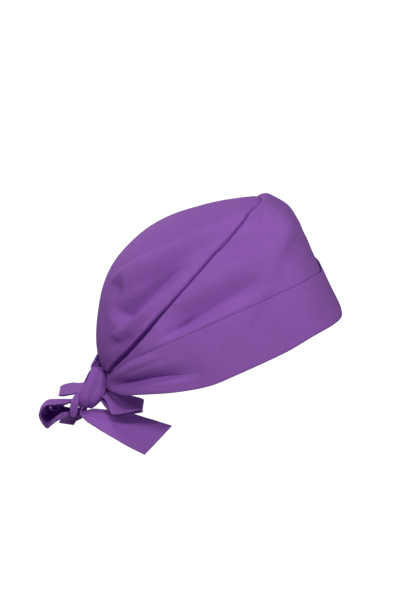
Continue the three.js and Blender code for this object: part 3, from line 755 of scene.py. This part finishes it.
def crown_relief(grid, across, from_seam):
    """Height of the crown's puff, folds, gathers, puckered seam and soft rumples."""
    row_share = np.linspace(0, 1, len(grid))[:, None]
    from_middle = smooth_step((1 - np.abs(across)) * 2)[None, :]
    off_middle = smooth_step(np.abs(across) * 3)[None, :]
    ends = smooth_step(row_share / 0.2) * smooth_step((1 - row_share) / 0.1)
    low_half = mix(1.6, 0.8, smooth_step(row_share))
    puff = CROWN_PUFF * low_half * smooth_step(from_seam / PUFF_REACH) * ends
    folds = fold_height(CROWN_FOLDS, grid)
    folds = folds * smooth_step(from_seam / 8) * off_middle
    from_knot = np.linalg.norm(grid - grid[0, len(across) // 2], axis=-1)
    wave = np.cos(np.pi * PLEAT_COUNT * across)[None, :]
    gathered = smooth_step(row_share / 0.08) * np.exp(-from_knot / PLEAT_REACH)
    height = puff * from_middle + folds
    height += PLEAT_HEIGHT * wave * gathered * from_middle
    along_seam = travelled(grid, 0)[:, 0][:, None]
    height += 0.45 * pucker(along_seam, 2.1, 1.8, 13.0) * np.exp(-from_seam / 6.0)
    soft = rumple(grid, (36, 36, 26), 5) + 0.45 * rumple(grid, (15, 15, 12), 6)
    height += 0.8 * soft * smooth_step(from_seam / 10) * edge_fade(grid)
    return height - seam_turn(grid, from_seam)


def make_crown(material):
    """The bag-like back and top of the cap, gathered at the nape."""
    half = np.concatenate([np.linspace(0, 0.92, 56), np.linspace(0.93, 1, 16)])
    across = np.concatenate([-half[:0:-1], half])
    grid = crown_grid(across)
    normals = cap_normals(grid)
    from_start = travelled(grid, 1)
    from_seam = np.minimum(from_start, from_start[:, -1:] - from_start)
    height = crown_relief(grid, across, from_seam)
    grid = grid + normals * (height - CLOTH / 2)[..., None]
    grid = drawn_in(grid, 1, (-113, 0, -22), 0.5)
    centre = len(across) // 2
    run = travelled(grid, 0)[:, centre]
    sideways = travelled(grid, 1)
    sideways = sideways - sideways[:, centre : centre + 1]
    uv = np.stack([np.broadcast_to(run[:, None], sideways.shape), sideways], axis=-1)
    return sheet_object(
        "crown_cloth", grid, cap_normals(grid), CLOTH_SHOWN, material, uv
    )


def strap_grid(rows, steps):
    """Middle surface and normals of a strap, gathered into pleats where it is narrow."""
    table = np.array(rows, float)
    shares = np.linspace(0, 1, steps + 1)
    middle = curve(table[:, 0:3], shares)
    half_rows = unit(table[:, 3:6]) * table[:, 6:7] / 2
    half = curve(half_rows, shares)
    curls = curve(np.column_stack([table[:, 7:9], np.zeros(len(table))]), shares)
    tangent = unit(np.gradient(middle, axis=0))
    face = unit(np.cross(tangent, half))
    side = np.linspace(-1, 1, TIE_COLUMNS + 1)[None, :]
    curl = np.where(side > 0, curls[:, 0:1], curls[:, 1:2]) * side**2
    width = 2 * np.linalg.norm(half, axis=1)[:, None]
    narrow = np.clip(1 - width / TIE_WIDTH, 0, 0.75)
    pleat = np.cos(np.pi * TIE_PLEATS * side + 0.8) * narrow * width * 0.04
    lift = curl + pleat * (1 - 0.4 * side**2)
    grid = middle[:, None, :] + half[:, None, :] * side[..., None]
    grid = grid + face[:, None, :] * lift[..., None]
    return grid, grid_normals(grid, face[:, None, :])


def run_in(rows, first, last):
    """A strap's rows, carried on into the knot by these distances at its two ends."""
    table = np.array(rows, float)
    ends = []
    for row, distance in ((table[0], first), (table[-1], last)):
        inward = KNOT_MIDDLE - row[:3]
        more = row.copy()
        more[:3] += unit(inward) * distance
        more[6] *= 1.1
        ends.append(more[None, :])
    parts = [table]
    if first:
        parts.insert(0, ends[0])
    if last:
        parts.append(ends[1])
    return np.vstack(parts)


def both_faces(path, normals):
    """Paths of stitches on the two faces of a cloth, from a path in its middle."""
    paths = []
    for face in (1, -1):
        own = normals * face
        paths.append((path + own * CLOTH_SHOWN / 2, own))
    return paths


def make_strap(name, rows, steps, material, hems, end_hem):
    """A tie's cloth, and the paths of the stitches along its hems."""
    grid, normals = strap_grid(rows, steps)
    wrinkle = rumple(grid, (14, 14, 10), len(name))
    grid = grid + normals * (TIE_WRINKLE * wrinkle)[..., None]
    normals = grid_normals(grid, normals)
    piece = sheet_object(name, grid, normals, CLOTH_SHOWN, material)
    paths = []
    for share in hems:
        column = int(round(share * TIE_COLUMNS))
        paths += both_faces(grid[:, column], normals[:, column])
    if end_hem:
        length = travelled(grid, 0)[:, TIE_COLUMNS // 2]
        row = int(np.searchsorted(length, length[-1] - END_HEM))
        paths += both_faces(grid[row, 2:-2], normals[row, 2:-2])
    return piece, paths


def knot_turns(turns):
    """Middle, breadth and reach of the wound band at each share of a turn."""
    return curve(KNOT_TURNS, np.mod(turns, 1.0), closed=True)


def knot_points(sizes, turns, along, out):
    """Points round the knot's long axis, a row for each turn and a column for each place."""
    turn = 2 * np.pi * turns[:, None]
    x = sizes[:, 0:1] + along[None, :] * sizes[:, 1:2] / 2
    reach = sizes[:, 2:3] * out
    y = KNOT_CENTRE[0] - reach * np.sin(turn)
    z = KNOT_CENTRE[1] + reach * np.cos(turn)
    return np.stack([np.broadcast_to(x, y.shape), y, z], axis=-1)


def make_core(material):
    """The inside of the knot, seen at both ends of the wrapped band."""
    turns = np.linspace(0, 1, 65)[:-1]
    along = np.array([-0.62, -0.7, -0.74, -0.7, -0.5, 0, 0.5, 0.7, 0.74, 0.7, 0.62])
    size = np.array([0.1, 0.4, 0.62, 0.76, 0.84, 0.86, 0.84, 0.76, 0.62, 0.4, 0.1])
    folds = 1 + 0.07 * np.sin(2 * np.pi * turns[:, None] * 5 + 3 * along[None, :])
    grid = knot_points(knot_turns(turns), turns, along, size[None, :] * folds)
    count, rings = grid.shape[:2]
    index = np.arange(count * rings).reshape(count, rings)
    following = np.roll(index, -1, axis=0)
    quads = [following[:, :-1], following[:, 1:], index[:, 1:], index[:, :-1]]
    faces = np.stack(quads, axis=-1).reshape(-1, 4)[:, ::-1].tolist()
    faces.append(index[:, 0].tolist())
    faces.append(index[::-1, -1].tolist())
    run = np.broadcast_to(travelled(grid, 0)[:, rings // 2][:, None], (count, rings))
    uv = np.stack([run, travelled(grid, 1)], axis=-1).reshape(-1, 2)
    return mesh_object("knot_core", grid.reshape(-1, 3), faces, uv, material)


def make_wrap(material):
    """The band of the tie that is wound round the knot, with its ends tucked away behind."""
    turns = np.linspace(-0.2, 0.98, WRAP_STEPS)
    along = np.linspace(-1, 1.13, 39)
    travel = np.linspace(0, 1, len(turns))
    crease = 0.05 * np.exp(-(((along[None, :] + 0.2 - 0.25 * travel[:, None]) / 0.09) ** 2))
    ripple = 0.022 * np.cos(7.5 * along[None, :] + 4 * travel[:, None])
    rounding = -0.1 * np.abs(along[None, :]) ** 5
    tuck = -0.13 * (1 - smooth_step(travel / 0.22)) - 0.04 * smooth_step((travel - 0.9) * 10)
    out = 0.99 + rounding - crease + ripple + tuck[:, None]
    grid = knot_points(knot_turns(turns), turns, along, out)
    axis = np.array([0.0, KNOT_CENTRE[0], KNOT_CENTRE[1]])
    outward = (grid - axis) * np.array([0, 1, 1])
    normals = grid_normals(grid, outward)
    piece = sheet_object("knot_wrap", grid, normals, CLOTH_SHOWN, material)
    # One row of stitches, along the middle of the band where it isn't tucked away
    column = int(np.argmin(np.abs(along + 0.02)))
    seen = slice(30, 120)
    path = grid[seen, column] + normals[seen, column] * CLOTH_SHOWN / 2
    return piece, [(path, normals[seen, column])]


class Nodes:
    """A material's node tree, with short calls to add and link nodes."""

    def __init__(self, name):
        self.material = bpy.data.materials.new(name)
        self.material.use_nodes = True
        self.tree = self.material.node_tree
        self.tree.nodes.clear()

    def add(self, kind, **settings):
        node = self.tree.nodes.new(kind)
        for key, value in settings.items():
            if key in node.inputs:
                node.inputs[key].default_value = value
            else:
                setattr(node, key, value)
        return node

    def link(self, output, target):
        self.tree.links.new(output, target)

    def finish(self, shader):
        output = self.add("ShaderNodeOutputMaterial")
        self.link(shader.outputs["BSDF"], output.inputs["Surface"])
        return self.material


def mixed_colour(nodes, share, first, second, kind="MIX"):
    """A mix of two colours. The share and the colours are node outputs or plain values."""
    node = nodes.add("ShaderNodeMix", data_type="RGBA", blend_type=kind)
    targets = (node.inputs["Factor"], node.inputs[6], node.inputs[7])
    for target, source in zip(targets, (share, first, second)):
        if isinstance(source, bpy.types.NodeSocket):
            nodes.link(source, target)
        else:
            target.default_value = source
    return node.outputs[2]


def in_range(nodes, value, low, high):
    """A node output of 0 to 1, carried over to the range from low to high."""
    node = nodes.add("ShaderNodeMapRange")
    node.inputs["To Min"].default_value = low
    node.inputs["To Max"].default_value = high
    nodes.link(value, node.inputs["Value"])
    return node.outputs["Result"]


def linear(red, green, blue):
    """Linear colour and full alpha from screen values of 0 to 255."""
    values = np.array([red, green, blue]) / 255
    low = values / 12.92
    high = ((values + 0.055) / 1.055) ** 2.4
    return (*(float(v) for v in np.where(values <= 0.04045, low, high)), 1.0)


def weave_pattern(nodes, cloth):
    """Crests of the threads that run along the two directions of the cloth."""
    weave = []
    for direction in ("X", "Y"):
        wave = nodes.add(
            "ShaderNodeTexWave",
            wave_type="BANDS",
            bands_direction=direction,
            Scale=420.0,
            Distortion=1.2,
            Detail=1.0,
        )
        wave.inputs["Detail Scale"].default_value = 0.4
        nodes.link(cloth.outputs["UV"], wave.inputs["Vector"])
        weave.append(wave.outputs["Fac"])
    woven = nodes.add("ShaderNodeMath", operation="MAXIMUM")
    nodes.link(weave[0], woven.inputs[0])
    nodes.link(weave[1], woven.inputs[1])
    return woven.outputs["Value"]


def yarn_grain(nodes, cloth):
    """Unevenness of the blended yarn, drawn out in one direction of the cloth."""
    stretch = nodes.add("ShaderNodeMapping")
    stretch.inputs["Scale"].default_value = (1.0, 0.25, 1.0)
    yarn = nodes.add("ShaderNodeTexNoise", Scale=900.0, Detail=3.0, Roughness=0.7)
    nodes.link(cloth.outputs["UV"], stretch.inputs["Vector"])
    nodes.link(stretch.outputs["Vector"], yarn.inputs["Vector"])
    return yarn.outputs["Fac"]


def cloth_colour(nodes, place, woven, yarn, bright, deep, thread):
    """Dyed cloth: soft patches, uneven yarn and paler crests of thread, with painted shade along
    its edges.
    """
    patches = nodes.add("ShaderNodeTexNoise", Scale=26.0, Detail=4.0, Roughness=0.55)
    nodes.link(place.outputs["Object"], patches.inputs["Vector"])
    ground = mixed_colour(nodes, patches.outputs["Fac"], deep, bright)
    tone = in_range(nodes, yarn, 0.86, 1.12)
    toned = mixed_colour(nodes, 1.0, ground, tone, "MULTIPLY")
    pale = in_range(nodes, woven, 0.0, 0.12)
    threads = mixed_colour(nodes, pale, toned, thread)
    # Painted shade: the colour is darkened along the marked edges of the cloth, as the shade that
    # falls in its creases and gaps
    edge = nodes.add("ShaderNodeAttribute", attribute_name="cloth_edge")
    return mixed_colour(nodes, edge.outputs["Fac"], threads, (*PAINTED_EDGE_SHADE, 1), "MULTIPLY")


def cloth_relief(nodes, place, woven, yarn):
    """Normal of the surface: the weave and its yarn over small soft creases."""
    height = nodes.add("ShaderNodeMath", operation="MULTIPLY_ADD")
    nodes.link(yarn, height.inputs[0])
    height.inputs[1].default_value = 0.6
    nodes.link(woven, height.inputs[2])
    weave = nodes.add("ShaderNodeBump", Strength=0.35, Distance=0.00012)
    nodes.link(height.outputs["Value"], weave.inputs["Height"])
    creases = nodes.add(
        "ShaderNodeTexNoise", Scale=70.0, Detail=5.0, Roughness=0.62, Distortion=0.6
    )
    nodes.link(place.outputs["Object"], creases.inputs["Vector"])
    soft = nodes.add("ShaderNodeBump", Strength=0.35, Distance=0.0012)
    nodes.link(creases.outputs["Fac"], soft.inputs["Height"])
    nodes.link(weave.outputs["Normal"], soft.inputs["Normal"])
    return soft.outputs["Normal"]


def cloth_material(name, bright, deep, thread):
    """Woven polyester and cotton: blended yarns, a fine weave, painted shade along its edges and
    a faint sheen.
    """
    nodes = Nodes(name)
    cloth = nodes.add("ShaderNodeUVMap", uv_map="cloth")
    place = nodes.add("ShaderNodeTexCoord")
    woven = weave_pattern(nodes, cloth)
    yarn = yarn_grain(nodes, cloth)
    colour = cloth_colour(nodes, place, woven, yarn, bright, deep, thread)
    shader = nodes.add("ShaderNodeBsdfPrincipled", Roughness=0.86)
    shader.inputs["Specular IOR Level"].default_value = 0.18
    shader.inputs["Sheen Weight"].default_value = 0.01
    shader.inputs["Sheen Roughness"].default_value = 0.55
    shader.inputs["Sheen Tint"].default_value = thread
    nodes.link(colour, shader.inputs["Base Color"])
    nodes.link(cloth_relief(nodes, place, woven, yarn), shader.inputs["Normal"])
    return nodes.finish(shader)


def thread_material(name, colour, dark_colour):
    """Sewing thread: two twisted plies of slightly different tone."""
    nodes = Nodes(name)
    place = nodes.add("ShaderNodeTexCoord")
    twist = nodes.add("ShaderNodeTexWave", Scale=500.0, Distortion=2.0)
    nodes.link(place.outputs["Object"], twist.inputs["Vector"])
    tint = mixed_colour(nodes, twist.outputs["Fac"], dark_colour, colour)
    shader = nodes.add("ShaderNodeBsdfPrincipled", Roughness=0.6)
    shader.inputs["Specular IOR Level"].default_value = 0.35
    nodes.link(tint, shader.inputs["Base Color"])
    return nodes.finish(shader)


def floor_material():
    """A pale, matt floor with a faint unevenness."""
    nodes = Nodes("studio_floor")
    place = nodes.add("ShaderNodeTexCoord")
    grain = nodes.add("ShaderNodeTexNoise", Scale=3.0, Detail=2.0)
    nodes.link(place.outputs["Object"], grain.inputs["Vector"])
    pale = (0.88, 0.88, 0.88, 1)
    paler = (0.9, 0.9, 0.9, 1)
    tint = mixed_colour(nodes, grain.outputs["Fac"], pale, paler)
    shader = nodes.add("ShaderNodeBsdfPrincipled", Roughness=0.9)
    shader.inputs["Emission Color"].default_value = (1, 1, 1, 1)
    nodes.link(tint, shader.inputs["Base Color"])
    # The floor is as pale as the surround where it is seen, and throws no light of its own
    seen = nodes.add("ShaderNodeLightPath")
    nodes.link(seen.outputs["Is Camera Ray"], shader.inputs["Emission Strength"])
    return nodes.finish(shader)


def make_floor():
    """A pale floor below the cap, which hangs as a head would hold it."""
    half = FLOOR_WIDTH / 2
    mesh = bpy.data.meshes.new("floor")
    corners = [(-half, -half), (half, -half), (half, half), (-half, half)]
    mesh.from_pydata([(x, y, -FLOOR_DROP) for x, y in corners], [], [(0, 1, 2, 3)])
    mesh.materials.append(floor_material())
    floor = bpy.data.objects.new("floor", mesh)
    bpy.context.scene.collection.objects.link(floor)


def make_lamp(name, place, size, power):
    """A round soft box, aimed at the cap."""
    light = bpy.data.lights.new(name, "AREA")
    light.shape = "DISK"
    light.size = size
    light.energy = power
    lamp = bpy.data.objects.new(name, light)
    lamp.location = place
    lamp.rotation_mode = "QUATERNION"
    lamp.rotation_quaternion = (Vector(LAMP_AIM) - Vector(place)).to_track_quat("-Z", "Y")
    bpy.context.scene.collection.objects.link(lamp)


def make_world():
    """A white surround that is seen, and lights the cap only faintly."""
    world = bpy.data.worlds.new("studio")
    world.use_nodes = True
    tree = world.node_tree
    tree.nodes.clear()
    seen = tree.nodes.new("ShaderNodeLightPath")
    strength = tree.nodes.new("ShaderNodeMapRange")
    strength.inputs["To Min"].default_value = 0.02  # as light on the cap
    strength.inputs["To Max"].default_value = 1.1  # as seen
    background = tree.nodes.new("ShaderNodeBackground")
    background.inputs["Color"].default_value = (1, 1, 1, 1)
    output = tree.nodes.new("ShaderNodeOutputWorld")
    tree.links.new(seen.outputs["Is Camera Ray"], strength.inputs["Value"])
    tree.links.new(strength.outputs["Result"], background.inputs["Strength"])
    tree.links.new(background.outputs["Background"], output.inputs["Surface"])
    bpy.context.scene.world = world


def make_camera():
    """The photo's view: from the right side, looking a little down, from far away."""
    down = math.radians(VIEW_DOWN)
    across, up = VIEW_MIDDLE
    target = Vector((across, 0, up / math.cos(down)))
    back = Vector((0, -math.cos(down), math.sin(down)))
    camera = bpy.data.cameras.new("camera")
    camera.sensor_width = SENSOR
    picture_height = PHOTO_HEIGHT * PIXEL * MM
    camera.lens = camera.sensor_width * VIEW_DISTANCE / picture_height
    view = bpy.data.objects.new("camera", camera)
    view.location = target + back * VIEW_DISTANCE
    view.rotation_mode = "QUATERNION"
    view.rotation_quaternion = (-back).to_track_quat("-Z", "Y")
    bpy.context.scene.collection.objects.link(view)
    bpy.context.scene.camera = view


rim_line = side_line(RIM)
cuff_line = side_line(CUFF_TOP)
seam_line = side_line(SEAM)

bright = linear(160, 98, 196)
deep = linear(142, 85, 177)
pale_thread = linear(186, 138, 214)
cloth = cloth_material("purple_cloth", bright, deep, pale_thread)
tie_cloth = cloth_material("purple_tie_cloth", bright, deep, pale_thread)
thread_tone = linear(184, 136, 212)
dark_ply = (*(0.72 * part for part in thread_tone[:3]), 1.0)
thread = thread_material("purple_thread", thread_tone, dark_ply)

# Columns: node, table, how far its first and last end run on into the knot, steps along it,
# where its hems lie across it, and whether its end is hemmed
STRAPS = (
    ("front_loop", FRONT_LOOP, 7, 6, 130, HEMS, False),
    ("front_tail", FRONT_TAIL, 6, 0, 90, HEMS, True),
    ("upper_loop", UPPER_LOOP, 9, 8, 90, HEMS, False),
    ("lower_loop", LOWER_LOOP, 7, 6, 140, HEMS, False),
    ("back_tail", BACK_TAIL, 6, 0, 50, HEMS, True),
    ("left_tie", LEFT_TIE, 0, 5, 50, HEMS, False),
    ("small_wrap", SMALL_WRAP, 4, 3, 50, (), False),
)


def stand_for(piece, node):
    """Attaches a piece to the root body and hides the solid it stands for."""
    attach(piece, "root")
    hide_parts(node)


pieces = {
    "crown": make_crown(cloth),
    "front_panel": make_panel(cloth),
    "cuff": make_cuff(cloth),
}
stand_for(pieces["crown"], "crown")
stand_for(pieces["front_panel"], "front_panel")
stand_for(pieces["cuff"], "cuff")
stand_for(make_core(tie_cloth), "knot")
pieces["knot"], seams = make_wrap(tie_cloth)
stand_for(pieces["knot"], "knot")
for node, rows, first, last, steps, hems, end_hem in STRAPS:
    rows = run_in(rows, first, last)
    strap, paths = make_strap(node + "_cloth", rows, steps, tie_cloth, hems, end_hem)
    stand_for(strap, node)
    pieces[node] = strap
    seams += paths
tie_stitches = stitches("tie_stitches", seams, thread)
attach(tie_stitches, "root")

make_floor()
for lamp_row in LAMPS:
    make_lamp(*lamp_row)
make_world()
make_camera()
bpy.context.scene.view_settings.view_transform = "Standard"
